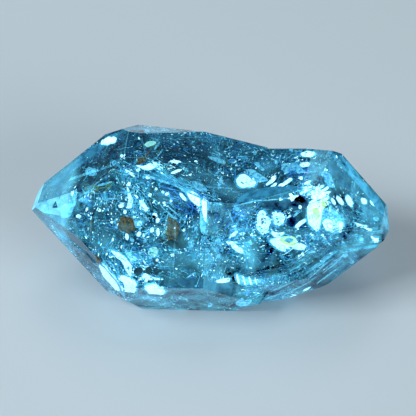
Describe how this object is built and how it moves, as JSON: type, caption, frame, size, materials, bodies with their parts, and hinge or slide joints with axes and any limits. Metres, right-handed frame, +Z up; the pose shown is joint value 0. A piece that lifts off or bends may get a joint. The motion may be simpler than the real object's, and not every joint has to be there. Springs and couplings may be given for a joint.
{
  "type": "petroleum quartz crystal",
  "caption": "Clear doubly terminated quartz, two crystals grown together, with glowing petroleum inclusions, resting on a flat prism face.",
  "frame": {"origin": "middle of the crystal's box, at the height of the face that it rests on", "axes": "+X along the crystals' common long (c) axis, from the larger crystal to the smaller; +Z up from the face it rests on; -Y towards the picture's viewer"},
  "size_m": [0.028, 0.0134, 0.0133],
  "materials": {
    "clear_quartz": "clear natural crystal faces, frosted at the tips, blue glow from oil inclusions"
  },
  "bodies": {
    "root": {"quartz_crystal": "clear_quartz"}
  },
  "joints": []
}
